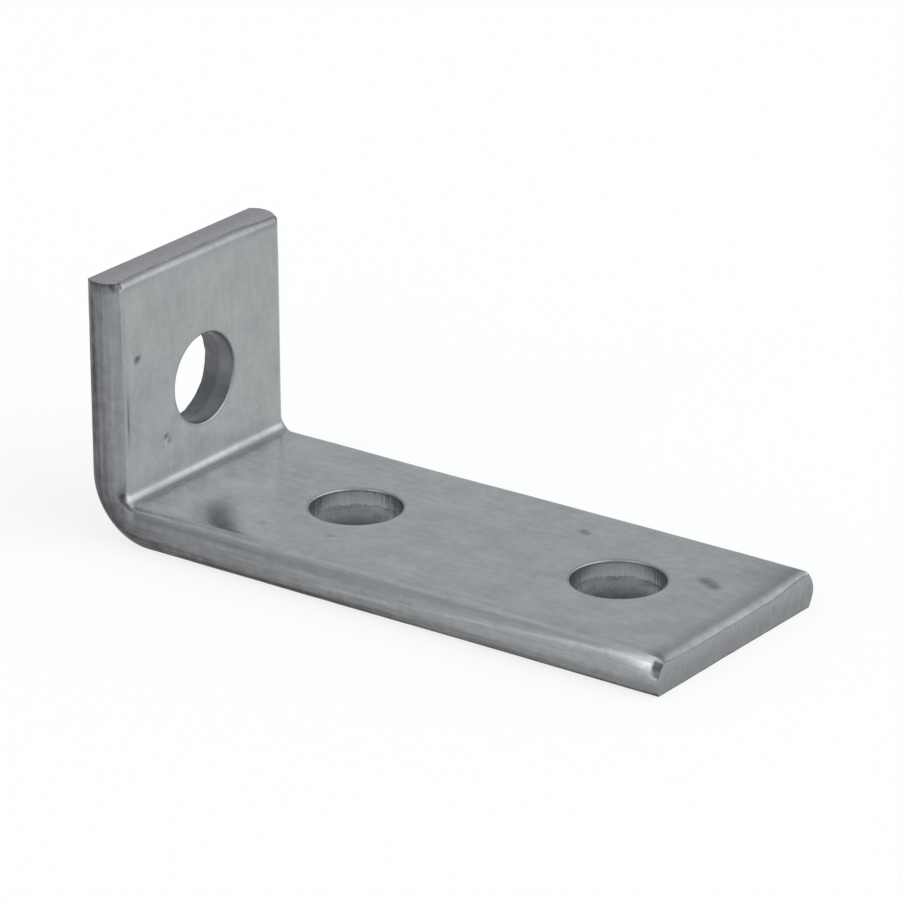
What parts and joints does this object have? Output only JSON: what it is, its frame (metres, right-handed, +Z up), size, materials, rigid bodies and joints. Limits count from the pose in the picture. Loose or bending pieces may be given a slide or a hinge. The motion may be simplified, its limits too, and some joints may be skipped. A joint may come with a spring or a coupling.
{
  "type": "strut angle fitting",
  "caption": "Right-angle fitting folded from thick flat bar with rolled edges: a short upright leg and a long flat leg, punched for the bolts that join strut channel at a corner.",
  "frame": {"origin": "on the underside, at mid width, halfway between the outer face of the short leg and the free end of the long leg", "axes": "+X along the long leg to its free end, +Y across the width, +Z up the short leg"},
  "size_m": [0.1032, 0.0412, 0.0413],
  "materials": {
    "zinc_plated_steel": "electro-galvanised, satin with cloudy mottling"
  },
  "bodies": {
    "root": {"angle_fitting": "zinc_plated_steel"}
  },
  "joints": []
}
